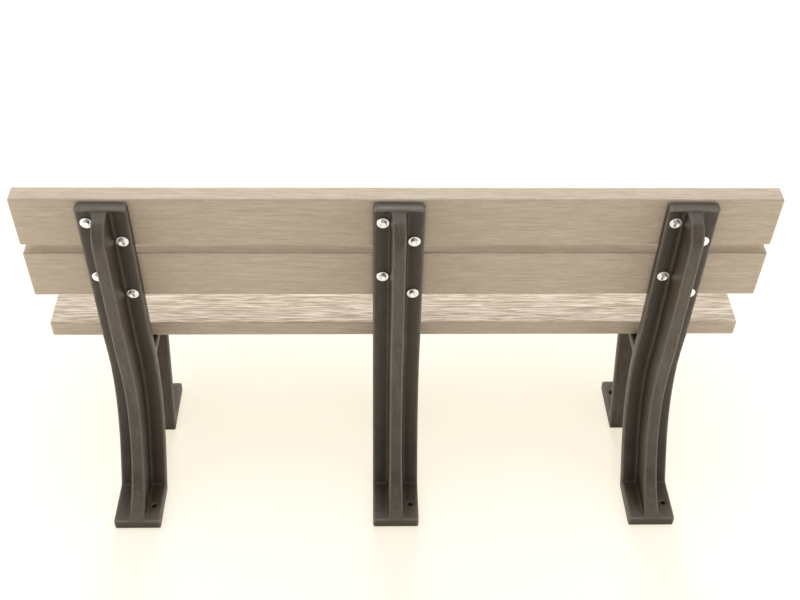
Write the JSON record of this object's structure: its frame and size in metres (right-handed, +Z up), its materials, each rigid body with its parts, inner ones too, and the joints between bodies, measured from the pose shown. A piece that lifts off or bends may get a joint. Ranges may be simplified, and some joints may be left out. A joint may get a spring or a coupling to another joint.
{
  "type": "street bench with backrest",
  "caption": "Street bench with a low slatted backrest: plastic lumber planks with wood grain, screwed to moulded T-section supports that curve back to splayed anchor feet.",
  "frame": {"origin": "on the ground, under the middle of the bench's bounding box", "axes": "+X along the bench, +Z up, and the bench faces -Y, so the backrest is on the +Y side"},
  "size_m": [1.829, 0.7713, 0.9236],
  "materials": {
    "lumber": "recycled plastic lumber in weathered greige with an embossed wavy wood grain, matt",
    "moulded_plastic": "dark brown-black moulded recycled plastic, matt with faint flow streaks",
    "zinc_plate": "bright zinc plated steel"
  },
  "bodies": {
    "root": {"back_plank_lower": "lumber", "back_plank_upper": "lumber", "back_screw_left_lower_1": "zinc_plate", "back_screw_left_lower_2": "zinc_plate", "back_screw_left_upper_1": "zinc_plate", "back_screw_left_upper_2": "zinc_plate", "back_screw_middle_lower_1": "zinc_plate", "back_screw_middle_lower_2": "zinc_plate", "back_screw_middle_upper_1": "zinc_plate", "back_screw_middle_upper_2": "zinc_plate", "back_screw_right_lower_1": "zinc_plate", "back_screw_right_lower_2": "zinc_plate", "back_screw_right_upper_1": "zinc_plate", "back_screw_right_upper_2": "zinc_plate", "back_washer_left_lower_1": "zinc_plate", "back_washer_left_lower_2": "zinc_plate", "back_washer_left_upper_1": "zinc_plate", "back_washer_left_upper_2": "zinc_plate", "back_washer_middle_lower_1": "zinc_plate", "back_washer_middle_lower_2": "zinc_plate", "back_washer_middle_upper_1": "zinc_plate", "back_washer_middle_upper_2": "zinc_plate", "back_washer_right_lower_1": "zinc_plate", "back_washer_right_lower_2": "zinc_plate", "back_washer_right_upper_1": "zinc_plate", "back_washer_right_upper_2": "zinc_plate", "seat_plank_front": "lumber", "seat_plank_middle": "lumber", "seat_plank_rear": "lumber", "seat_screw_left_front_1": "zinc_plate", "seat_screw_left_front_2": "zinc_plate", "seat_screw_left_middle_1": "zinc_plate", "seat_screw_left_middle_2": "zinc_plate", "seat_screw_left_rear_1": "zinc_plate", "seat_screw_left_rear_2": "zinc_plate", "seat_screw_middle_front_1": "zinc_plate", "seat_screw_middle_front_2": "zinc_plate", "seat_screw_middle_middle_1": "zinc_plate", "seat_screw_middle_middle_2": "zinc_plate", "seat_screw_middle_rear_1": "zinc_plate", "seat_screw_middle_rear_2": "zinc_plate", "seat_screw_right_front_1": "zinc_plate", "seat_screw_right_front_2": "zinc_plate", "seat_screw_right_middle_1": "zinc_plate", "seat_screw_right_middle_2": "zinc_plate", "seat_screw_right_rear_1": "zinc_plate", "seat_screw_right_rear_2": "zinc_plate", "support_left": "moulded_plastic", "support_middle": "moulded_plastic", "support_right": "moulded_plastic"}
  },
  "joints": []
}
